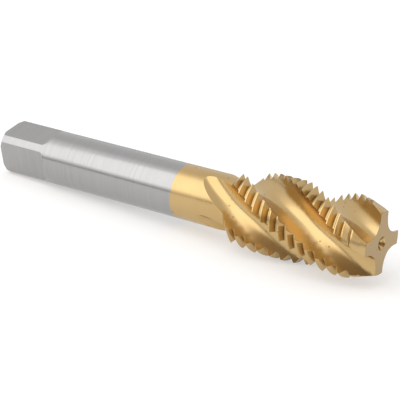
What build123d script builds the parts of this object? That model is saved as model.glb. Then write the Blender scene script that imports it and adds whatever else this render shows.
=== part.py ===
from build123d import *
from math import ceil, cos, degrees, pi, radians, sin, sqrt, tan
import os

# Spiral-flute machine tap, M20 x 2.5, lying with its axis along X.
# The origin is the centre of the drive-end face, and the cutting end points along +X.
# Lengths are in millimetres and angles in degrees.

# Shank and drive square
overall_length = 112.0
shank_diameter = 14.0
shank_chamfer = 0.8
drive_width = 11.2
drive_length = 13.6
drive_runout_radius = 2.0

# Thread, with a flat crest and a flat root
thread_diameter = 20.0
thread_pitch = 2.5
thread_angle = 60.0
thread_crest_flat = 0.31
thread_root_flat = 0.45
thread_length = 37.0
thread_shoulder_angle = 45.0
thread_phase = 1.675

# Lead, the taper that starts the cut
lead_length = 7.3
lead_angle = 17.8

# Flutes, right-hand and hooked on the cutting side
flute_count = 4
helix_angle = 35.0
core_diameter = 8.4
gullet_radius = 3.0
rake_angle = 20.0
heel_angle = 12.0
land_angle = 28.7
cutting_edge_angle = -2.2
flute_runout_radius = 23.0

# Centre hole in the tip
centre_diameter = 3.35
centre_angle = 60.0
pilot_diameter = 2.0
pilot_depth = 3.4

# How far the tap rolls about its axis before it lies still on two of its lands
rest_roll = 14.0

# How far each cutter reaches past the metal, and the spacing of the flute's sections
cutter_overrun = 2.5
section_spacing = 3.0

# Stations along the axis and radii that follow from the sizes above
shank_radius = shank_diameter / 2
thread_radius = thread_diameter / 2
core_radius = core_diameter / 2
half_thread_angle = radians(thread_angle / 2)
thread_depth = (thread_pitch - thread_crest_flat - thread_root_flat) / (2 * tan(half_thread_angle))
root_radius = thread_radius - thread_depth
thread_start = overall_length - thread_length
shoulder_start = thread_start - (thread_radius - shank_radius) / tan(radians(thread_shoulder_angle))
lead_start = overall_length - lead_length
tip_radius = thread_radius - lead_length * tan(radians(lead_angle))
flute_lead = pi * thread_diameter / tan(radians(helix_angle))
flute_angle = 360 / flute_count - land_angle
drive_cut_top = max(drive_width / 2 + drive_runout_radius, shank_radius) + cutter_overrun


def polar(radius, angle):
    """A point in a plane square to the axis."""
    return Vector(radius * cos(radians(angle)), radius * sin(radians(angle)))


def flute_side(lean):
    """Points on one side of the flute, from past its mouth in to the gullet.

    The side is one arc. It crosses the thread's crest at angle zero, leaning by the given
    angle from the radius there, and is tangent to the gullet's arc where they meet.
    """
    edge = polar(thread_radius, 0)
    inward = polar(1, 90 + lean)
    reach = edge - gullet_centre
    radius = (gullet_radius**2 - reach.dot(reach)) / (2 * (inward.dot(reach) + gullet_radius))
    centre = edge + inward * radius
    outer = centre + (edge - centre).rotate(Axis.Z, degrees(cutter_overrun / radius))
    seat = gullet_centre + (gullet_centre - centre).normalized() * gullet_radius
    return outer, edge, seat


def across(point):
    """The same point on the other side of the flute."""
    axis = polar(1, flute_angle / 2)
    return axis * (2 * axis.dot(point)) - point


def flute_plane(station):
    """The plane of the flute's section, turned along the helix and lifted as it runs out."""
    behind = max(0.0, thread_start - station)
    lift = flute_runout_radius - sqrt(flute_runout_radius**2 - behind**2)
    turn = cutting_edge_angle + 360 * (station - overall_length) / flute_lead
    lifted = polar(lift, turn + flute_angle / 2)
    turned = polar(1, turn)
    return Plane(
        origin=(station, lifted.X, lifted.Y),
        x_dir=(0, turned.X, turned.Y),
        z_dir=(1, 0, 0),
    )


def stations(first, last):
    """Evenly spaced stations along the axis, both ends included."""
    count = ceil((last - first) / section_spacing)
    return [first + (last - first) * index / count for index in range(count + 1)]


# The flute's run-out starts where its gullet has come clear of the shank
full_lift = shank_radius - core_radius + cutter_overrun
runout_length = sqrt(flute_runout_radius**2 - (flute_runout_radius - full_lift) ** 2)
flute_start = thread_start - runout_length
flute_end = overall_length + cutter_overrun

gullet_centre = polar(core_radius + gullet_radius, flute_angle / 2)
rake_outer, rake_edge, rake_seat = flute_side(rake_angle)
heel_outer, heel_edge, heel_seat = (across(point) for point in flute_side(heel_angle))
gullet_bottom = gullet_centre + (rake_seat + heel_seat - gullet_centre * 2).normalized() * gullet_radius
flute_top = polar(thread_radius + 2 * cutter_overrun, flute_angle / 2)

with BuildSketch() as flute_profile:
    with BuildLine():
        ThreePointArc(rake_outer, rake_edge, rake_seat)
        ThreePointArc(rake_seat, gullet_bottom, heel_seat)
        ThreePointArc(heel_seat, heel_edge, heel_outer)
        ThreePointArc(heel_outer, flute_top, rake_outer)
    make_face()

# One flute at its full depth, lofted through sections that follow the helix
with BuildPart() as flute_cutter:
    for station in stations(thread_start, flute_end):
        with BuildSketch(flute_plane(station)):
            add(flute_profile.sketch)
    loft()

# The same flute's run-out, which rises through the shoulder and out of the shank
with BuildPart() as runout_cutter:
    for station in stations(flute_start, thread_start):
        with BuildSketch(flute_plane(station)):
            add(flute_profile.sketch)
    loft()

# One turn of the thread's groove, swept along a helix from its section in an axial plane
groove_rise = thread_crest_flat / (4 * tan(half_thread_angle))
groove_half_top = thread_pitch / 2 - thread_crest_flat / 4
groove_half_floor = thread_root_flat / 2
groove_top = thread_radius + groove_rise

with BuildPart() as groove_turn:
    with BuildLine() as groove_path:
        Helix(thread_pitch, thread_pitch, root_radius, direction=(1, 0, 0))
    groove_entry = groove_path.line @ 0
    radial = groove_entry.normalized()
    with BuildSketch(Plane(origin=(0, 0, 0), x_dir=(1, 0, 0), z_dir=Vector(1, 0, 0).cross(radial))):
        with BuildLine():
            Polyline(
                (-groove_half_top, groove_top),
                (-groove_half_floor, root_radius),
                (groove_half_floor, root_radius),
                (groove_half_top, groove_top),
                close=True,
            )
        make_face()
    sweep(is_frenet=True)

# One flat of the drive square, with the cutter's run-out at its front end
with BuildPart() as drive_cutter:
    with BuildSketch(Plane.XZ):
        with BuildLine():
            Line((-cutter_overrun, drive_width / 2), (drive_length, drive_width / 2))
            RadiusArc(
                (drive_length, drive_width / 2),
                (drive_length + drive_runout_radius, drive_width / 2 + drive_runout_radius),
                -drive_runout_radius,
            )
            Polyline(
                (drive_length + drive_runout_radius, drive_width / 2 + drive_runout_radius),
                (drive_length + drive_runout_radius, drive_cut_top),
                (-cutter_overrun, drive_cut_top),
                (-cutter_overrun, drive_width / 2),
            )
        make_face()
    extrude(amount=shank_diameter, both=True)

with BuildPart() as tap:
    # The turned blank: shank, shoulder, thread's outside and lead
    with BuildSketch(Plane.XY):
        with BuildLine():
            Polyline(
                (0, 0),
                (0, shank_radius - shank_chamfer),
                (shank_chamfer, shank_radius),
                (shoulder_start, shank_radius),
                (thread_start, thread_radius),
                (lead_start, thread_radius),
                (overall_length, tip_radius),
                (overall_length, 0),
                close=True,
            )
        make_face()
    revolve(axis=Axis.X)

    # The drive square
    for flat in range(4):
        add(drive_cutter.part, rotation=(90 * flat, 0, 0), mode=Mode.SUBTRACT)

    # The centre hole in the tip
    with Locations(Plane(origin=(overall_length, 0, 0), z_dir=(1, 0, 0))):
        CounterSinkHole(pilot_diameter / 2, centre_diameter / 2, pilot_depth, centre_angle)

    # The flutes, which leave the cutting lands between them
    for flute in range(flute_count):
        flute_turn = (360 / flute_count * flute, 0, 0)
        add(flute_cutter.part, rotation=flute_turn, mode=Mode.SUBTRACT)
        add(runout_cutter.part, rotation=flute_turn, mode=Mode.SUBTRACT)

    # The thread, cut turn by turn from behind the shoulder to the tip
    groove_start = shoulder_start - thread_phase
    turn_count = ceil((overall_length - groove_start) / thread_pitch)
    with Locations(*[(groove_start + turn * thread_pitch, 0, 0) for turn in range(turn_count)]):
        add(groove_turn.part, mode=Mode.SUBTRACT)

# The tap as it lies at rest
with BuildPart() as thread_tap:
    add(tap.part, rotation=(rest_roll, 0, 0))
thread_tap.part.label = "thread_tap"

os.makedirs("parts", exist_ok=True)
export_step(thread_tap.part, "parts/thread_tap.step")
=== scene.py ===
"""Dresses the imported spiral-flute tap and sets it in a plain studio for its photograph."""

import logging
import math
from collections.abc import Callable
from dataclasses import dataclass, field
from enum import Enum

import bpy
import numpy as np
from mathutils import Matrix, Vector


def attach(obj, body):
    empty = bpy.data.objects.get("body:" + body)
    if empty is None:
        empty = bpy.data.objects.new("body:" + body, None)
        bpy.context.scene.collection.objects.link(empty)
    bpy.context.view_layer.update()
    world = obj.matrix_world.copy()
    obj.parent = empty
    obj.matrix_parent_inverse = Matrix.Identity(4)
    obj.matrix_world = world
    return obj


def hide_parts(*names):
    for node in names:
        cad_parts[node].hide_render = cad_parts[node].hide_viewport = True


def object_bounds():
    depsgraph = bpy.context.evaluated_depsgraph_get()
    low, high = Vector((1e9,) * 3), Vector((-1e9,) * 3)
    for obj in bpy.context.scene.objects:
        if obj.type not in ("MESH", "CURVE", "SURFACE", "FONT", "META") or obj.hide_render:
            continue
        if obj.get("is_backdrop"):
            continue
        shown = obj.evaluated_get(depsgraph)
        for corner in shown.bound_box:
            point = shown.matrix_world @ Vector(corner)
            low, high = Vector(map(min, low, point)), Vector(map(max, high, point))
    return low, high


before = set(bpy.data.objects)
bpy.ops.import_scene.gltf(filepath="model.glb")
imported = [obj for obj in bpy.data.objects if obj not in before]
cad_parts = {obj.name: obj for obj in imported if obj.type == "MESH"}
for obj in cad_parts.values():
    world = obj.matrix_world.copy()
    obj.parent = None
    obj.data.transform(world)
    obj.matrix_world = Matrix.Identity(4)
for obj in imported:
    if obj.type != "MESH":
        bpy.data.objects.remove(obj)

logging.basicConfig(level=logging.INFO, format="%(message)s")
LOG = logging.getLogger("scene")

MM = 0.001
NODE = "thread_tap"
PIECE = "tap_surface"

# Corners closer than the first are merged, and stations closer than the second are one, in mm
MERGE_DISTANCE = 0.0002
SAME_STATION = 1e-4

WHITE = (1, 1, 1, 1)
MULTIPLY = {"operation": "MULTIPLY"}
SMOOTH = {"interpolation_type": "SMOOTHSTEP"}

Object = bpy.types.Object
Tree = bpy.types.NodeTree
Socket = bpy.types.NodeSocket
Step = tuple[float, float]
Triple = tuple[float, float, float]
Colour = tuple[float, float, float, float]
EdgeTest = Callable[[Vector, Vector], bool]
# The station and the radius where a flute's side meets the outside, in mm
Meeting = tuple[float, float]
# Gives the meeting for a flute's number, and 0 for the cutting side or 1 for the heel
SideEdge = Callable[[int, int], Meeting]


class Rays(Enum):
    """The kinds of ray that see the studio's white background."""

    CAMERA = "Is Camera Ray"
    GLOSSY = "Is Glossy Ray"
    TRANSMISSION = "Is Transmission Ray"


def linear_colour(code: str) -> Colour:
    """Turns an sRGB hex value into a linear colour.

    Args:
        code: Six hex digits, with or without a leading hash.

    Returns:
        The linear red, green and blue, with an alpha of 1.
    """
    digits = code.lstrip("#")
    channels = [int(digits[place : place + 2], 16) / 255 for place in (0, 2, 4)]
    red, green, blue = (
        value / 12.92 if value <= 0.04045 else ((value + 0.055) / 1.055) ** 2.4
        for value in channels
    )
    return red, green, blue, 1.0


def add_node(
    tree: Tree,
    kind: str,
    settings: dict | None = None,
    inputs: dict | None = None,
) -> bpy.types.Node:
    """Adds one node to a tree.

    Args:
        tree: The node tree of a material or of the world.
        kind: The node's type.
        settings: Values for the node's own properties.
        inputs: A value, or an output socket to link, for each input named or numbered.

    Returns:
        The new node.
    """
    node = tree.nodes.new(kind)
    for name, value in (settings or {}).items():
        setattr(node, name, value)
    for name, value in (inputs or {}).items():
        if isinstance(value, Socket):
            tree.links.new(value, node.inputs[name])
        else:
            node.inputs[name].default_value = value
    return node


def new_material(name: str) -> tuple[bpy.types.Material, Tree]:
    """Makes a material, and returns it with its empty node tree."""
    material = bpy.data.materials.new(name)
    material.use_nodes = True
    material.node_tree.nodes.clear()
    return material, material.node_tree


def select_only(piece: Object) -> None:
    """Deselects everything, then selects one object and makes it active."""
    bpy.ops.object.select_all(action="DESELECT")
    piece.select_set(True)
    bpy.context.view_layer.objects.active = piece


def select_edges(piece: Object, chosen: EdgeTest) -> None:
    """Selects edges of one object and leaves it in edit mode.

    Args:
        piece: The mesh object.
        chosen: Says whether the edge between two corners is wanted.
    """
    select_only(piece)
    bpy.ops.object.mode_set(mode="EDIT")
    bpy.ops.mesh.select_mode(type="EDGE")
    bpy.ops.mesh.select_all(action="DESELECT")
    bpy.ops.object.mode_set(mode="OBJECT")
    corners = piece.data.vertices
    for edge in piece.data.edges:
        edge.select = chosen(*(corners[corner].co for corner in edge.vertices))
    bpy.ops.object.mode_set(mode="EDIT")


def at_station(station: float) -> EdgeTest:
    """Picks the edges that lie in a plane square to the axis."""

    def chosen(first: Vector, last: Vector) -> bool:
        """Says whether both ends lie in the plane."""
        return all(abs(end.x - station) < SAME_STATION for end in (first, last))

    return chosen


def add_ring(
    name: str, station: float, radius: float, corners: int, phase_deg: float = 0.0
) -> Object:
    """Adds an open circle round the axis.

    Args:
        name: The object's name.
        station: Its place along the axis.
        radius: Its radius.
        corners: How many corners it has.
        phase_deg: The angle of one of its corners.

    Returns:
        The circle's object.
    """
    bpy.ops.object.select_all(action="DESELECT")
    bpy.ops.mesh.primitive_circle_add(
        vertices=corners,
        radius=radius,
        fill_type="NOTHING",
        location=(station, 0, 0),
        rotation=(0, math.radians(90), 0),
    )
    ring = bpy.context.active_object
    ring.name = name
    bpy.ops.object.transform_apply()
    ring.rotation_euler.x = math.radians(phase_deg)
    bpy.ops.object.transform_apply()
    return ring


def extend_ring(ring: Object, steps: tuple[Step, ...], closed: bool) -> None:
    """Extrudes a circle along the axis step by step, and closes its last end.

    Args:
        ring: The circle's object.
        steps: The length of each step, and the scale of its new end.
        closed: Whether the first end is closed too.
    """
    select_only(ring)
    bpy.ops.object.mode_set(mode="EDIT")
    bpy.ops.mesh.select_all(action="SELECT")
    if closed:
        bpy.ops.mesh.edge_face_add()
        bpy.ops.mesh.select_all(action="SELECT")
    for length, scale in steps:
        bpy.ops.mesh.extrude_region_move(TRANSFORM_OT_translate={"value": (length, 0, 0)})
        bpy.ops.transform.resize(value=(1, scale, scale))
    bpy.ops.mesh.edge_face_add()
    bpy.ops.mesh.select_all(action="SELECT")
    bpy.ops.mesh.normals_make_consistent(inside=False)
    bpy.ops.object.mode_set(mode="OBJECT")


def cut(piece: Object, tool: Object) -> None:
    """Cuts one closed solid from another."""
    select_only(piece)
    modifier = piece.modifiers.new("cut", "BOOLEAN")
    modifier.operation = "DIFFERENCE"
    modifier.solver = "EXACT"
    modifier.object = tool
    bpy.ops.object.modifier_apply(modifier=modifier.name)


def merge_corners(piece: Object) -> None:
    """Merges corners that lie together, and turns every face outward."""
    select_only(piece)
    bpy.ops.object.mode_set(mode="EDIT")
    bpy.ops.mesh.select_mode(type="VERT")
    bpy.ops.mesh.select_all(action="SELECT")
    bpy.ops.mesh.remove_doubles(threshold=MERGE_DISTANCE)
    bpy.ops.mesh.normals_make_consistent(inside=False)
    bpy.ops.object.mode_set(mode="OBJECT")


def polar(radius: float, angle: float) -> np.ndarray:
    """A point in a plane square to the axis, from an angle in degrees."""
    turn = math.radians(angle)
    return np.array([radius * math.cos(turn), radius * math.sin(turn)])


def arc(centre: np.ndarray, radius: float, start: float, sweep: float, samples: int) -> np.ndarray:
    """Points along an arc, from angles in radians."""
    angles = start + sweep * np.linspace(0, 1, samples)
    return centre + radius * np.stack([np.cos(angles), np.sin(angles)], axis=1)


@dataclass(frozen=True)
class CoatedSteel:
    """High-speed steel, ground all over, with titanium nitride on its front half.

    The bare steel is a neutral grey metal whose fine grinding lines run round the shank and
    draw its highlight out along the tool. The nitride is a thin hard layer that takes the
    polish of the ground flutes, so it shines like brass but paler.
    """

    steel_light: str = "#B4B3B2"
    steel_dark: str = "#979695"
    steel_roughness: float = 0.1
    nitride_light: str = "#CEB180"
    nitride_dark: str = "#BD9F6A"
    nitride_roughness: float = 0.15
    coating_start_mm: float = 56.2
    coating_fade_mm: float = 0.35

    # Grinding lines, drawn out round the axis, and coarser than the real 0.05 mm.
    # Each noise is the detail and the roughness of its pattern.
    grinding_line_mm: float = 0.3
    line_noise: tuple[float, float] = (3.0, 0.6)
    line_stretch: float = 40.0
    line_contrast: float = 0.6
    line_strength: float = 0.08
    line_depth_mm: float = 0.004

    # Patches where the polish is a little duller
    blotch_mm: float = 9.0
    blotch_noise: tuple[float, float] = (3.0, 0.55)
    blotch_roughness: float = 0.14

    # Fine unevenness of the coated metal, drawn coarser than the real 0.1 mm
    satin_mm: float = 0.7
    satin_noise: tuple[float, float] = (2.0, 0.6)
    satin_strength: float = 0.2
    satin_depth_mm: float = 0.03

    # Painted shade, a brown darkening where teeth and holes shelter the metal: how open the metal
    # is where the painted shade is deepest, and where it ends
    # The colour of the painted shade in the hollows, which the dark specks share
    hollow_shade_and_speck_colour: str = "#6B4F22"
    hollow_shade_mm: float = 1.6
    hollow_shade_span: tuple[float, float] = (0.25, 0.85)
    hollow_shade_strength: float = 0.75
    hollow_shade_samples: int = 8

    # Dark specks: the core is the share of a speck's radius that is darkest
    speck_mm: float = 0.3
    speck_core: float = 0.5
    speck_spacing_mm: float = 2.2
    speck_share: float = 0.35
    speck_strength: float = 0.6

    # The end face's dulling begins and is complete this far behind its plane
    end_face_mm: float = 112.0
    end_face_span_mm: tuple[float, float] = (0.06, 0.02)
    end_face_colour: str = "#8F7A5C"
    end_face_dulling: float = 0.6

    edge_radius_mm: float = 0.09
    edge_samples: int = 4

    def material(self) -> bpy.types.Material:
        """Builds the metal.

        Returns:
            The material, which reads Object coordinates in metres.
        """
        # One polished metal, which the eye takes for silver behind and pale gold in front
        material, tree = new_material("ground_steel_with_titanium_nitride")
        source = add_node(tree, "ShaderNodeTexCoord").outputs["Object"]
        place = add_node(
            tree, "ShaderNodeVectorMath", {"operation": "SCALE"}, {0: source, "Scale": 1 / MM}
        ).outputs[0]
        station = add_node(tree, "ShaderNodeSeparateXYZ", inputs={0: place}).outputs["X"]
        lines, blotches, satin = self.patterns(tree, place)

        # The edge of the coating is a plain circle round the shank
        coating = add_node(
            tree,
            "ShaderNodeMapRange",
            SMOOTH,
            {
                "Value": station,
                "From Min": self.coating_start_mm - self.coating_fade_mm / 2,
                "From Max": self.coating_start_mm + self.coating_fade_mm / 2,
            },
        ).outputs[0]
        shade = add_node(
            tree,
            "ShaderNodeMath",
            {"operation": "MULTIPLY_ADD"},
            {0: lines, 1: self.line_contrast, 2: (1 - self.line_contrast) / 2},
        ).outputs[0]
        colour, nitride = (
            add_node(
                tree,
                "ShaderNodeMix",
                {"data_type": "RGBA"},
                {"Factor": share, 6: linear_colour(dark), 7: linear_colour(light)},
            ).outputs[2]
            for share, dark, light in (
                (shade, self.steel_dark, self.steel_light),
                (blotches, self.nitride_dark, self.nitride_light),
            )
        )
        for share, over in (
            (coating, nitride),
            # Painted shade: the sheltered metal in the hollows is darkened to brown
            (self.painted_hollow_shade(tree), linear_colour(self.hollow_shade_and_speck_colour)),
            (self.specks(tree, place, coating), linear_colour(self.hollow_shade_and_speck_colour)),
            (self.end_face(tree, station), linear_colour(self.end_face_colour)),
        ):
            inputs = {"Factor": share, 6: colour, 7: over}
            colour = add_node(tree, "ShaderNodeMix", {"data_type": "RGBA"}, inputs).outputs[2]

        polish = add_node(
            tree,
            "ShaderNodeMapRange",
            inputs={
                "Value": coating,
                "To Min": self.steel_roughness,
                "To Max": self.nitride_roughness,
            },
        ).outputs[0]
        roughness = add_node(
            tree,
            "ShaderNodeMath",
            {"operation": "MULTIPLY_ADD"},
            {0: blotches, 1: self.blotch_roughness, 2: polish},
        ).outputs[0]
        shader = add_node(
            tree,
            "ShaderNodeBsdfPrincipled",
            inputs={
                "Base Color": colour,
                "Metallic": 1.0,
                "Roughness": roughness,
                "Normal": self.relief(tree, coating, lines, satin),
            },
        )
        add_node(tree, "ShaderNodeOutputMaterial", inputs={"Surface": shader.outputs[0]})
        return material

    def patterns(self, tree: Tree, place: Socket) -> list[Socket]:
        """Lays out the grinding lines, the blotches and the satin.

        Args:
            tree: The material's node tree.
            place: The place in millimetres.

        Returns:
            The three patterns, each between 0 and 1.
        """
        line_scale = 1 / self.grinding_line_mm
        round_scale = line_scale / self.line_stretch
        drawn_out = add_node(
            tree,
            "ShaderNodeVectorMath",
            MULTIPLY,
            {0: place, 1: (line_scale, round_scale, round_scale)},
        ).outputs[0]
        noises = (
            (drawn_out, 1.0, self.line_noise),
            (place, 1 / self.blotch_mm, self.blotch_noise),
            (place, 1 / self.satin_mm, self.satin_noise),
        )
        return [
            add_node(
                tree,
                "ShaderNodeTexNoise",
                inputs={"Vector": vector, "Scale": scale, "Detail": detail, "Roughness": roughness},
            ).outputs["Fac"]
            for vector, scale, (detail, roughness) in noises
        ]

    def painted_hollow_shade(self, tree: Tree) -> Socket:
        """Finds where teeth and centre holes shelter the metal, where a brown painted shade darkens
        it.
        """
        shelter = add_node(
            tree,
            "ShaderNodeAmbientOcclusion",
            {"samples": self.hollow_shade_samples},
            {"Distance": self.hollow_shade_mm * MM},
        )
        deepest, end = self.hollow_shade_span
        return add_node(
            tree,
            "ShaderNodeMapRange",
            SMOOTH,
            {
                "Value": shelter.outputs["AO"],
                "From Min": deepest,
                "From Max": end,
                "To Min": self.hollow_shade_strength,
                "To Max": 0.0,
            },
        ).outputs[0]

    def specks(self, tree: Tree, place: Socket, coating: Socket) -> Socket:
        """Puts a few dark specks in the coating, one in some of the cells of a pattern.

        Args:
            tree: The material's node tree.
            place: The place in millimetres.
            coating: 1 on the coating and 0 on the steel.

        Returns:
            How much of the specks' colour there is.
        """
        cells = add_node(
            tree,
            "ShaderNodeTexVoronoi",
            inputs={"Vector": place, "Scale": 1 / self.speck_spacing_mm},
        )
        share = add_node(
            tree,
            "ShaderNodeMapRange",
            inputs={
                "Value": cells.outputs["Distance"],
                "From Min": self.speck_core * self.speck_mm / self.speck_spacing_mm,
                "From Max": self.speck_mm / self.speck_spacing_mm,
                "To Min": self.speck_strength,
                "To Max": 0.0,
            },
        ).outputs[0]
        chance = add_node(tree, "ShaderNodeSeparateColor", inputs={0: cells.outputs["Color"]})
        some = add_node(
            tree,
            "ShaderNodeMath",
            {"operation": "GREATER_THAN"},
            {0: chance.outputs[0], 1: 1 - self.speck_share},
        ).outputs[0]
        for limit in (some, coating):
            inputs = {0: share, 1: limit}
            share = add_node(tree, "ShaderNodeMath", MULTIPLY, inputs).outputs[0]
        return share

    def end_face(self, tree: Tree, station: Socket) -> Socket:
        """Finds the end face, which is turned, not polished, and looks duller than the flutes."""
        first, last = self.end_face_span_mm
        face = add_node(
            tree,
            "ShaderNodeMapRange",
            inputs={
                "Value": station,
                "From Min": self.end_face_mm - first,
                "From Max": self.end_face_mm - last,
            },
        ).outputs[0]
        inputs = {0: face, 1: self.end_face_dulling}
        return add_node(tree, "ShaderNodeMath", MULTIPLY, inputs).outputs[0]

    def relief(self, tree: Tree, coating: Socket, lines: Socket, satin: Socket) -> Socket:
        """Gives the metal its fine relief and its softened edges.

        Args:
            tree: The material's node tree.
            coating: 1 on the coating and 0 on the steel.
            lines: The grinding lines.
            satin: The unevenness of the coated metal.

        Returns:
            The normal.
        """
        # No real edge is quite sharp, which leaves a thin bright line along each tooth
        normal = add_node(
            tree,
            "ShaderNodeBevel",
            {"samples": self.edge_samples},
            {"Radius": self.edge_radius_mm * MM},
        ).outputs[0]
        inputs = {0: satin, 1: coating}
        coated = add_node(tree, "ShaderNodeMath", MULTIPLY, inputs).outputs[0]
        for height, strength, depth_mm in (
            (coated, self.satin_strength, self.satin_depth_mm),
            (lines, self.line_strength, self.line_depth_mm),
        ):
            normal = add_node(
                tree,
                "ShaderNodeBump",
                inputs={
                    "Height": height,
                    "Strength": strength,
                    "Distance": depth_mm * MM,
                    "Normal": normal,
                },
            ).outputs[0]
        return normal


@dataclass(frozen=True)
class Blank:
    """The turned outline of the tap, in millimetres from the drive end."""

    length: float = 112.0
    shank_radius: float = 7.0
    thread_radius: float = 10.0
    shank_chamfer: float = 0.8
    shoulder_start: float = 72.0
    thread_start: float = 75.0
    lead_start: float = 104.7
    lead_angle: float = 17.8

    def radius(self, station: float) -> float:
        """The outside radius at a station on the shank, the shoulder, the thread or the lead."""
        if station < self.shoulder_start:
            return self.shank_radius
        if station < self.thread_start:
            rise = (station - self.shoulder_start) / (self.thread_start - self.shoulder_start)
            return self.shank_radius + rise * (self.thread_radius - self.shank_radius)
        taper = max(0.0, station - self.lead_start) * math.tan(math.radians(self.lead_angle))
        return self.thread_radius - taper


@dataclass(frozen=True)
class Thread:
    """The metric thread's groove, which has a flat floor and two flanks, in millimetres.

    The middle of its first groove lies at the starting station and angle.
    """

    pitch: float = 2.5
    depth: float = 1.5059
    floor_width: float = 0.45
    flank_angle: float = 30.0
    start: float = 70.325
    start_angle: float = 90.0
    split: int = 2

    def half_width(self, height: float) -> float:
        """Half the groove's width at a height above its floor."""
        return self.floor_width / 2 + max(0.0, height) * math.tan(math.radians(self.flank_angle))

    def lines(self, height: float) -> list[float]:
        """Lines along one pitch of the thread, measured from the middle of a groove.

        Args:
            height: How far the crest stands above the groove's floor.

        Returns:
            Distances along the axis: both corners of floor and crest, and lines between them.
        """
        floor = self.floor_width / 2
        mouth = self.half_width(height)
        corners = [-floor, floor, mouth, self.pitch - mouth, self.pitch - floor]
        return [
            first + (last - first) * part / self.split
            for first, last in zip(corners, corners[1:])
            for part in range(self.split)
        ]

    def height(self, offset: float) -> float:
        """How far the flank stands above the floor at a distance from the groove's middle."""
        beside = abs((offset + self.pitch / 2) % self.pitch - self.pitch / 2)
        return max(0.0, beside - self.floor_width / 2) / math.tan(math.radians(self.flank_angle))

    def station(self, turn: int, offset: float, angle: float) -> float:
        """Where a line of the thread lies along the axis, at an angle in degrees."""
        return self.start + self.pitch * (turn + (angle - self.start_angle) / 360) + offset


@dataclass(frozen=True)
class Flute:
    """The section of a spiral flute, hooked on its cutting side, and the helix it follows."""

    blank: Blank = Blank()
    count: int = 4
    helix_angle: float = 35.0
    core_radius: float = 4.2
    gullet_radius: float = 3.0
    rake_angle: float = 20.0
    heel_angle: float = 12.0
    land_angle: float = 28.7
    edge_angle: float = -2.2
    runout_radius: float = 23.0
    overrun: float = 1.5
    samples: int = 160

    @property
    def opening(self) -> float:
        """The flute's opening at the thread's outside, in degrees."""
        return 360 / self.count - self.land_angle

    @property
    def gullet(self) -> np.ndarray:
        """The centre of the gullet's arc."""
        return polar(self.core_radius + self.gullet_radius, self.opening / 2)

    @property
    def runout_tip(self) -> float:
        """The station where the flute has risen out of the shank."""
        sunk = self.runout_radius - (self.blank.shank_radius - self.core_radius)
        return self.blank.thread_start - math.sqrt(self.runout_radius**2 - sunk**2)

    def turn(self, station: float) -> float:
        """How far the helix has turned the section at a station, in degrees."""
        lead = 2 * math.pi * self.blank.thread_radius / math.tan(math.radians(self.helix_angle))
        return self.edge_angle + 360 * (station - self.blank.length) / lead

    def lift(self, station: float) -> float:
        """How far the section is lifted out of the metal at a station behind the thread."""
        behind = min(self.runout_radius, max(0.0, self.blank.thread_start - station))
        return self.runout_radius - math.sqrt(self.runout_radius**2 - behind**2)

    def side(self, lean: float) -> np.ndarray:
        """Points on the arc from the flute's mouth in to the gullet.

        Args:
            lean: The angle between the arc and the radius, where it crosses the thread's crest.

        Returns:
            The points, from just outside the crest to where the gullet's arc begins.
        """
        edge = polar(self.blank.thread_radius, 0)
        inward = polar(1, 90 + lean)
        reach = edge - self.gullet
        spread = 2 * (inward @ reach + self.gullet_radius)
        radius = (self.gullet_radius**2 - reach @ reach) / spread
        centre = edge + inward * radius
        start = math.atan2(*(edge - centre)[::-1]) + self.overrun / radius
        end = math.atan2(*(self.gullet - centre)[::-1])
        sweep = (end - start + math.pi) % (2 * math.pi) - math.pi
        return arc(centre, abs(radius), start, sweep, self.samples)

    def section(self) -> np.ndarray:
        """Points along the section, from past the cutting edge through the gullet to the heel."""
        rake, heel = self.side(self.rake_angle), self.side(self.heel_angle)
        axis = polar(1, self.opening / 2)
        heel = 2 * (heel @ axis)[:, None] * axis - heel
        start, end = (math.atan2(*(side[-1] - self.gullet)[::-1]) for side in (rake, heel))
        sweep = -((start - end) % (2 * math.pi))
        floor = arc(self.gullet, self.gullet_radius, start, sweep, self.samples)
        return np.concatenate([rake[:-1], floor, heel[-2::-1]])


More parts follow.
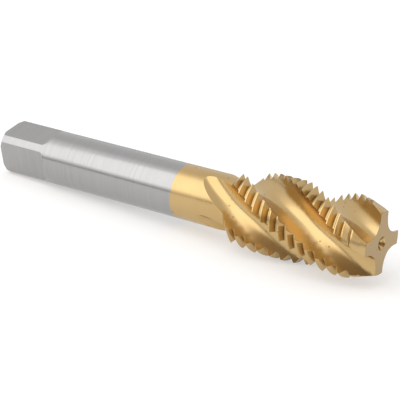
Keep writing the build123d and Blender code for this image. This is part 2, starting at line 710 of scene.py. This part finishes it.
@dataclass
class FlutedSurface:
    """The shank's front, the flutes and the thread, laid out row by row.

    Cutting the flutes from the thread with solids leaves open edges where a flute's side
    crosses a flank. Here every row of points follows a line of the thread instead, and every
    column follows a land or a flute.
    """

    blank: Blank
    thread: Thread
    flute: Flute
    start: float
    land_columns: int = 24
    side_columns: int = 3
    floor_columns: int = 28
    # How far the floor's columns keep inside the thread's root, in mm and as a share of depth
    margin: float = 0.25
    shallow_share: float = 0.3
    # The plain stretch behind the flutes' run-out, in mm, and the rows along the run-out
    plain_stretch: float = 2.0
    runout_rows: int = 24
    # Turns of the thread, from behind the shoulder to past the tip
    first_turn: int = -1
    end_turn: int = 19
    # How often a point on a line of the thread is moved until it lies still
    settling_steps: int = 7
    section: np.ndarray = field(init=False)
    along: np.ndarray = field(init=False)
    middle: np.ndarray = field(init=False)
    root_radius: float = field(init=False)

    def __post_init__(self) -> None:
        """Measures the flute's section."""
        self.section = self.flute.section()
        steps = np.linalg.norm(np.diff(self.section, axis=0), axis=1)
        self.along = np.concatenate([[0.0], np.cumsum(steps)])
        self.middle = polar(1, self.flute.opening / 2)
        self.root_radius = self.blank.thread_radius - self.thread.depth

    def mouth(self, station: float, radius: float) -> tuple[float, float]:
        """Where the flute's section meets a circle round the axis.

        Args:
            station: The section's place along the axis.
            radius: The circle's radius.

        Returns:
            The two distances along the section, on the cutting side and on the heel.
        """
        lifted = self.section + self.flute.lift(station) * self.middle
        reach = np.hypot(lifted[:, 0], lifted[:, 1])
        lowest = int(reach.argmin())
        if radius <= reach[lowest]:
            return self.along[lowest], self.along[lowest]
        near = np.interp(radius, reach[lowest::-1], self.along[lowest::-1])
        far = np.interp(radius, reach[lowest:], self.along[lowest:])
        return float(near), float(far)

    def point(self, flute: int, station: float, along: float) -> tuple[float, float]:
        """A point of a flute's section.

        Args:
            flute: The flute's number.
            station: The section's place along the axis.
            along: The distance along the section.

        Returns:
            The radius and the angle in degrees.
        """
        across = [np.interp(along, self.along, self.section[:, axis]) for axis in (0, 1)]
        across = np.array(across) + self.flute.lift(station) * self.middle
        turn = self.flute.turn(max(station, self.flute.runout_tip)) + 360 / self.flute.count * flute
        return float(np.hypot(*across)), turn + math.degrees(math.atan2(across[1], across[0]))

    def flute_points(self, flute: int, first: Meeting, last: Meeting) -> list[Triple]:
        """Points across one flute, from its cutting side's meeting to its heel's."""
        count = 2 * self.side_columns + self.floor_columns
        ends = (self.mouth(*first)[0], self.mouth(*last)[1])
        rims = {0: first[1], count: last[1]}
        points = []
        for column in range(count + 1):
            station = first[0] + (last[0] - first[0]) * column / count
            along = self.column_place(station, column, ends)
            radius, angle = self.point(flute, station, along)
            outside = rims.get(column, self.blank.radius(station))
            points.append((station, min(radius, outside), angle))
        return points

    def land_points(self, flute: int, near: Triple, ahead: Meeting) -> list[Triple]:
        """Points across the land, from a flute's last point to the next flute's cutting side."""
        far = (*ahead, self.point(flute + 1, ahead[0], self.mouth(*ahead)[0])[1])
        parts = [column / self.land_columns for column in range(1, self.land_columns)]
        return [
            tuple(begin + (end - begin) * part for begin, end in zip(near, far)) for part in parts
        ]

    def loop(self, edge: SideEdge) -> list[Triple]:
        """One turn of points round the tap.

        Args:
            edge: Finds where a flute's side meets the outside.

        Returns:
            Points as X, Y and Z in millimetres.
        """
        points = []
        for flute in range(self.flute.count):
            points += self.flute_points(flute, edge(flute, 0), edge(flute, 1))
            points += self.land_points(flute, points[-1], edge(flute + 1, 0))
        return [(station, *polar(radius, angle)) for station, radius, angle in points]

    def column_place(self, station: float, column: int, ends: tuple[float, float]) -> float:
        """Where a column crosses the flute's section.

        The columns on the floor keep their places, and those on the sides stretch with the
        thread's height.

        Args:
            station: The place along the axis.
            column: The column's number, from the cutting side.
            ends: The distances along the section where both sides meet the outside.

        Returns:
            The distance along the section.
        """
        outside = min(self.blank.radius(station), self.root_radius)
        depth = outside - self.flute.core_radius - self.flute.lift(station)
        margin = min(self.margin, self.shallow_share * max(0.0, depth))
        inside = self.mouth(station, outside - margin)
        last = self.side_columns + self.floor_columns
        if column <= self.side_columns:
            return ends[0] + (inside[0] - ends[0]) * column / self.side_columns
        if column >= last:
            return inside[1] + (ends[1] - inside[1]) * (column - last) / self.side_columns
        part = (column - self.side_columns) / self.floor_columns
        return inside[0] + (inside[1] - inside[0]) * part

    def shank_edge(self, station: float) -> SideEdge:
        """Finds where a plain ring round the shank meets the flutes."""
        return lambda flute, side: (station, self.blank.shank_radius)

    def thread_edge(self, turn: int, line: int) -> SideEdge:
        """Finds where a line of the thread meets the flutes.

        Args:
            turn: The thread's turn.
            line: The line's number in one pitch.

        Returns:
            The function that loop() takes.
        """

        def edge(flute: int, side: int) -> Meeting:
            """Moves along the line until it and the flute's side meet."""
            station, radius = self.blank.shoulder_start, self.blank.shank_radius
            for _ in range(self.settling_steps):
                along = self.mouth(station, radius)[side]
                angle = self.point(flute, station, along)[1]
                outside = self.blank.radius(station)
                offset = self.thread.lines(outside - self.root_radius)[line]
                found = self.thread.station(turn, offset, angle)
                station = min(max(found, self.blank.shoulder_start), self.blank.length)
                outside = self.blank.radius(station)
                radius = min(outside, self.root_radius + self.thread.height(offset))
            return station, radius

        return edge

    def shank_phase(self) -> float:
        """The angle of one column on the plain shank, in degrees."""
        along = self.mouth(self.start, self.blank.shank_radius)[0]
        return self.point(0, self.start, along)[1]

    def stations(self) -> list[float]:
        """The stations of the plain rows on the shank, closest where the flutes run out."""
        tip, end = self.flute.runout_tip, self.blank.shoulder_start
        plain = [self.start, (self.start + tip) / 2, tip - self.plain_stretch]
        parts = [row / self.runout_rows for row in range(self.runout_rows + 1)]
        return plain + [tip + (end - tip) * part**2 for part in parts]

    def faces(self, first: int, rows: int, width: int, shift: int) -> list[tuple[int, ...]]:
        """Joins each row of points to the next with four-sided faces.

        Args:
            first: The number of the first row's first point.
            rows: How many rows are joined to the one after them.
            width: How many points a row has.
            shift: How many rows further on a row comes round to, or 0 where it meets itself.

        Returns:
            The corners' numbers of each face.
        """
        faces = []
        for row in range(rows):
            low = first + row * width
            high = low + width
            for column in range(width):
                ahead = column + 1 if column + 1 < width else shift * width
                faces.append((low + column, low + ahead, high + ahead, high + column))
        return faces

    def build(self) -> Object:
        """Lays out the rows and joins them.

        Returns:
            The surface, open at both ends, in millimetres.
        """
        rings = [self.loop(self.shank_edge(station)) for station in self.stations()]
        per_turn = len(self.thread.lines(self.thread.depth))
        rows = [
            self.loop(self.thread_edge(turn, line))
            for turn in range(self.first_turn, self.end_turn)
            for line in range(per_turn)
        ]
        width = len(rings[0])
        corners = [corner for row in rings + rows for corner in row]
        faces = self.faces(0, len(rings) - 1, width, 0)
        faces += self.faces(len(rings) * width, len(rows) - 1 - per_turn, width, per_turn)
        mesh = bpy.data.meshes.new(PIECE)
        mesh.from_pydata(corners, [], faces)
        piece = bpy.data.objects.new(PIECE, mesh)
        bpy.context.collection.objects.link(piece)
        merge_corners(piece)
        LOG.info("fluted surface: %d faces", len(mesh.polygons))
        return piece


@dataclass(frozen=True)
class CentreHole:
    """A conical hole with a pilot, for the point of a machine centre."""

    mouth_diameter: float = 3.35
    pilot_diameter: float = 2.0
    depth: float = 3.4
    angle: float = 60.0
    corners: int = 64

    def build(self, station: float, inward: int, overrun: float = 0.0) -> Object:
        """Models the hole's wall.

        Args:
            station: The place of the hole's mouth along the axis.
            inward: 1 where the hole goes along +X, or -1.
            overrun: How far the cone goes on outside the mouth.

        Returns:
            The wall, open at its mouth unless it overruns.
        """
        slope = math.tan(math.radians(self.angle / 2))
        mouth, pilot = self.mouth_diameter / 2, self.pilot_diameter / 2
        cone = (mouth - pilot) / slope
        outer = mouth + overrun * slope
        wall = add_ring("centre_hole", station - inward * overrun, outer, self.corners)
        steps = ((inward * (cone + overrun), pilot / outer), (inward * (self.depth - cone), 1.0))
        extend_ring(wall, steps, closed=overrun > 0)
        return wall


@dataclass(frozen=True)
class DriveEnd:
    """The rear of the shank, with its chamfer, the drive square and a centre hole."""

    blank: Blank = Blank()
    hole: CentreHole = CentreHole()
    width: float = 11.2
    length: float = 13.6
    runout_radius: float = 2.0
    runout_segments: int = 10
    corners: int = 96
    flats: int = 4
    # How far the cutters reach past the metal, and the size of the flats' cutter
    hole_overrun: float = 1.0
    cutter_overrun: float = 3.0
    cutter_width: float = 24.0
    cutter_height: float = 6.0

    def build(self, end: float, phase_deg: float) -> Object:
        """Models the shank's rear.

        Args:
            end: The station where it meets the rest of the shank.
            phase_deg: The angle of one of its corners.

        Returns:
            The shank's rear, open at its front.
        """
        radius, chamfer = self.blank.shank_radius, self.blank.shank_chamfer
        rear = add_ring("shank_rear", 0.0, radius - chamfer, self.corners, phase_deg)
        steps = ((chamfer, radius / (radius - chamfer)), (end - chamfer, 1.0))
        extend_ring(rear, steps, closed=True)
        tool = self.flat_cutter()
        for flat in range(self.flats):
            tool.rotation_euler = (math.radians(360 / self.flats * flat), 0, 0)
            bpy.context.view_layer.update()
            cut(rear, tool)
        bpy.data.objects.remove(tool)
        tool = self.hole.build(0.0, 1, overrun=self.hole_overrun)
        cut(rear, tool)
        bpy.data.objects.remove(tool)
        self.open_front(rear, end)
        return rear

    def open_front(self, rear: Object, end: float) -> None:
        """Takes away the face that closed the shank's rear while it was cut."""
        select_only(rear)
        bpy.ops.object.mode_set(mode="EDIT")
        bpy.ops.mesh.select_mode(type="FACE")
        bpy.ops.mesh.select_all(action="DESELECT")
        bpy.ops.object.mode_set(mode="OBJECT")
        for face in rear.data.polygons:
            face.select = face.center.x > end - SAME_STATION
        bpy.ops.object.mode_set(mode="EDIT")
        bpy.ops.mesh.delete(type="ONLY_FACE")
        bpy.ops.object.mode_set(mode="OBJECT")

    def flat_cutter(self) -> Object:
        """Models the cutter for one flat, rounded where it runs out of the shank.

        Returns:
            The cutter, above the shank.
        """
        reach = self.length + self.runout_radius
        level = self.width / 2
        bpy.ops.object.select_all(action="DESELECT")
        bpy.ops.mesh.primitive_cube_add(
            size=1.0,
            location=((reach - self.cutter_overrun) / 2, 0, level + self.cutter_height / 2),
            scale=(reach + self.cutter_overrun, self.cutter_width, self.cutter_height),
        )
        tool = bpy.context.active_object
        tool.name = "flat_cutter"
        bpy.ops.object.transform_apply()
        in_front = at_station(reach)

        def chosen(first: Vector, last: Vector) -> bool:
            """Picks the lower front edge."""
            low = all(abs(end.z - level) < SAME_STATION for end in (first, last))
            return low and in_front(first, last)

        select_edges(tool, chosen)
        bpy.ops.mesh.bevel(
            offset=self.runout_radius, segments=self.runout_segments, affect="EDGES"
        )
        bpy.ops.object.mode_set(mode="OBJECT")
        return tool


@dataclass
class Tap:
    """The whole tool, which is one piece of metal."""

    finish: CoatedSteel
    blank: Blank = field(default_factory=Blank)
    thread: Thread = field(default_factory=Thread)
    flute: Flute = field(default_factory=Flute)
    hole: CentreHole = field(default_factory=CentreHole)
    rear_length: float = 20.0
    rest_roll_deg: float = 14.0
    sharp_edge_deg: float = 24.0

    def build(self) -> Object:
        """Models the tool in millimetres, then lays it in the frame in metres.

        Returns:
            The finished mesh object.
        """
        front = FlutedSurface(self.blank, self.thread, self.flute, self.rear_length)
        piece = front.build()
        self.join(piece, self.hole.build(self.blank.length, -1))
        select_edges(piece, at_station(self.blank.length))
        bpy.ops.mesh.fill(use_beauty=True)
        bpy.ops.object.mode_set(mode="OBJECT")
        rear = DriveEnd(self.blank, self.hole).build(self.rear_length, front.shank_phase())
        self.join(piece, rear)

        piece.rotation_euler = (math.radians(self.rest_roll_deg), 0, 0)
        piece.scale = (MM, MM, MM)
        select_only(piece)
        bpy.ops.object.transform_apply()
        bpy.ops.object.shade_smooth_by_angle(angle=math.radians(self.sharp_edge_deg))
        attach(piece, "root")
        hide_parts(NODE)
        LOG.info("tap: %d faces", len(piece.data.polygons))
        return piece

    def join(self, piece: Object, other: Object) -> None:
        """Joins another part of the surface to the piece along their shared edge."""
        select_only(piece)
        other.select_set(True)
        bpy.ops.object.join()
        merge_corners(piece)

    def dress(self, piece: Object) -> None:
        """Gives the tool its metal."""
        piece.data.materials.clear()
        piece.data.materials.append(self.finish.material())


@dataclass
class Table:
    """The white table that the tap lies on, touching the shank's rear and the thread."""

    width_mm: float = 2400.0
    colour: str = "#CACACA"
    lift: float = 0.46
    # What carries the rear lies behind this station, and what carries the front lies ahead
    divide_mm: float = 55.0
    settling_steps: int = 8

    def build(self, piece: Object) -> Object:
        """Lays the table under the tap.

        Args:
            piece: The tap's mesh object.

        Returns:
            The table's object.
        """
        low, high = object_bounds()
        slope, height = self.resting_line(piece)
        middle = (low[0] + high[0]) / 2
        bpy.ops.object.select_all(action="DESELECT")
        bpy.ops.mesh.primitive_plane_add(
            size=self.width_mm * MM,
            location=(middle, 0, height + slope * middle),
            rotation=(0, -math.atan(slope), 0),
        )
        table = bpy.context.active_object
        table.name = "table"
        bpy.ops.object.transform_apply()
        table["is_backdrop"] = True
        LOG.info("table: slope %.4f, height %.5f m", slope, height)
        return table

    def resting_line(self, piece: Object) -> tuple[float, float]:
        """Finds the slope of the line that carries the tap, and its height at X of zero."""
        points = [(corner.co.x, corner.co.z) for corner in piece.data.vertices]
        behind = [point for point in points if point[0] < self.divide_mm * MM]
        ahead = [point for point in points if point[0] >= self.divide_mm * MM]
        rear = behind[0]
        slope = min((z - rear[1]) / (x - rear[0]) for x, z in ahead)
        for _ in range(self.settling_steps):
            rear = min(behind, key=lambda point: point[1] - slope * point[0])
            slope = min((z - rear[1]) / (x - rear[0]) for x, z in ahead)
        return slope, rear[1] - slope * rear[0]

    def dress(self, table: Object) -> None:
        """Gives the table its white, which the metal reflects too."""
        # Matt white, which looks blank. Only the camera and reflections see its glow.
        material, tree = new_material("white_table")
        rays = add_node(tree, "ShaderNodeLightPath")
        seen = rays.outputs[Rays.CAMERA.value]
        for kind in (Rays.GLOSSY, Rays.TRANSMISSION):
            inputs = {0: seen, 1: rays.outputs[kind.value]}
            seen = add_node(tree, "ShaderNodeMath", {"operation": "MAXIMUM"}, inputs).outputs[0]
        inputs = {0: seen, 1: self.lift}
        lift = add_node(tree, "ShaderNodeMath", MULTIPLY, inputs).outputs[0]
        matt = add_node(tree, "ShaderNodeBsdfDiffuse", inputs={"Color": linear_colour(self.colour)})
        glow = add_node(tree, "ShaderNodeEmission", inputs={"Color": WHITE, "Strength": lift})
        inputs = {0: matt.outputs[0], 1: glow.outputs[0]}
        both = add_node(tree, "ShaderNodeAddShader", inputs=inputs)
        add_node(tree, "ShaderNodeOutputMaterial", inputs={"Surface": both.outputs[0]})
        table.data.materials.append(material)


@dataclass
class Softbox:
    """One soft lamp, aimed at the middle of the tap."""

    name: str
    direction: Triple
    distance_mm: float
    width_mm: float
    height_mm: float
    radiance: float
    colour: str = "#FFFFFF"

    def build(self, target: Vector) -> None:
        """Hangs the lamp in its place.

        Args:
            target: The point that it is aimed at, in metres.
        """
        data = bpy.data.lights.new(self.name, "AREA")
        data.shape = "RECTANGLE"
        data.size = self.width_mm * MM
        data.size_y = self.height_mm * MM
        data.color = linear_colour(self.colour)[:3]
        data.energy = self.radiance * math.pi * data.size * data.size_y
        lamp = bpy.data.objects.new(self.name, data)
        bpy.context.collection.objects.link(lamp)
        towards = Vector(self.direction).normalized()
        lamp.location = target + towards * self.distance_mm * MM
        lamp.rotation_euler = towards.to_track_quat("Z", "Y").to_euler()
        LOG.info("lamp: %s", self.name)


@dataclass
class Studio:
    """The light of the room and the camera."""

    room_strength: float = 0.88
    horizon_share: float = 0.4
    horizon_span: tuple[float, float] = (0.06, 0.16)
    glow_strength: float = 0.55
    glow_direction: Triple = (-0.265, -0.656, 0.707)
    glow_inner_deg: float = 22.0
    glow_outer_deg: float = 58.0
    dark_share: float = 0.3
    dark_colour: str = "#FFE3C2"
    dark_direction: Triple = (0.64, -0.64, 0.42)
    dark_inner_deg: float = 29.0
    dark_outer_deg: float = 38.0
    camera_mm: Triple = (281.45, -320.61, 135.09)
    aim_mm: Triple = (59.43, 1.53, -1.96)
    roll_deg: float = 2.25
    lens_mm: float = 149.66
    sensor_mm: float = 36.0
    clip_m: tuple[float, float] = (0.01, 10.0)

    def build_room(self) -> None:
        """Lights the room, with its bright patch, its dark side and its dark horizon."""
        world = bpy.data.worlds.new("room")
        bpy.context.scene.world = world
        world.use_nodes = True
        tree = world.node_tree
        tree.nodes.clear()
        view = add_node(tree, "ShaderNodeTexCoord").outputs["Generated"]
        glow = self.patch(tree, view, self.glow_direction, self.glow_inner_deg, self.glow_outer_deg)
        dark = self.patch(tree, view, self.dark_direction, self.dark_inner_deg, self.dark_outer_deg)
        strength, share = (
            add_node(
                tree, "ShaderNodeMath", {"operation": "MULTIPLY_ADD"}, {0: patch, 1: gain, 2: base}
            ).outputs[0]
            for patch, gain, base in (
                (glow, self.glow_strength, self.room_strength),
                (dark, self.dark_share - 1, 1.0),
            )
        )
        height = add_node(tree, "ShaderNodeSeparateXYZ", inputs={0: view}).outputs["Z"]
        horizon = add_node(
            tree,
            "ShaderNodeMapRange",
            SMOOTH,
            {
                "Value": height,
                "From Min": self.horizon_span[0],
                "From Max": self.horizon_span[1],
                "To Min": self.horizon_share,
                "To Max": 1.0,
            },
        ).outputs[0]
        for part in (share, horizon):
            inputs = {0: strength, 1: part}
            multiplied = add_node(tree, "ShaderNodeMath", MULTIPLY, inputs)
            strength = multiplied.outputs[0]
        tint = add_node(
            tree,
            "ShaderNodeMix",
            {"data_type": "RGBA"},
            {"Factor": dark, 6: WHITE, 7: linear_colour(self.dark_colour)},
        ).outputs[2]
        light = add_node(tree, "ShaderNodeBackground", inputs={"Color": tint, "Strength": strength})
        add_node(tree, "ShaderNodeOutputWorld", inputs={"Surface": light.outputs[0]})
        LOG.info("room light")

    def patch(
        self, tree: Tree, view: Socket, direction: Triple, inner_deg: float, outer_deg: float
    ) -> Socket:
        """Makes a soft round patch of the room's wall.

        Args:
            tree: The world's node tree.
            view: The direction of view.
            direction: The direction of the patch's middle.
            inner_deg: Where the patch starts to fade, as an angle from its middle.
            outer_deg: Where it ends.

        Returns:
            The socket, 1 inside the patch and 0 outside.
        """
        near = add_node(
            tree,
            "ShaderNodeVectorMath",
            {"operation": "DOT_PRODUCT"},
            {0: view, 1: tuple(Vector(direction).normalized())},
        )
        return add_node(
            tree,
            "ShaderNodeMapRange",
            SMOOTH,
            {
                "Value": near.outputs["Value"],
                "From Min": math.cos(math.radians(outer_deg)),
                "From Max": math.cos(math.radians(inner_deg)),
            },
        ).outputs[0]

    def build_camera(self) -> None:
        """Stands the camera where the photograph was taken from."""
        data = bpy.data.cameras.new("camera")
        data.lens = self.lens_mm
        data.sensor_width = self.sensor_mm
        data.clip_start, data.clip_end = self.clip_m
        camera = bpy.data.objects.new("camera", data)
        bpy.context.collection.objects.link(camera)
        place = Vector(self.camera_mm) * MM
        back = place - Vector(self.aim_mm) * MM
        level = back.to_track_quat("Z", "Y").to_matrix()
        turned = level @ Matrix.Rotation(math.radians(self.roll_deg), 3, "Z")
        camera.location = place
        camera.rotation_euler = turned.to_euler()
        bpy.context.scene.camera = camera
        LOG.info("camera")


def main() -> None:
    """Builds the tap and the studio round it."""
    packed_low, packed_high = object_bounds()
    bpy.context.scene.view_settings.view_transform = "Standard"

    tap = Tap(finish=CoatedSteel())
    piece = tap.build()
    tap.dress(piece)

    table = Table()
    table.dress(table.build(piece))

    studio = Studio()
    studio.build_room()
    studio.build_camera()
    key = Softbox(
        name="key_softbox",
        direction=studio.glow_direction,
        distance_mm=700.0,
        width_mm=800.0,
        height_mm=860.0,
        radiance=0.6,
    )
    key.build((packed_low + packed_high) / 2)


if __name__ == "__main__":
    main()
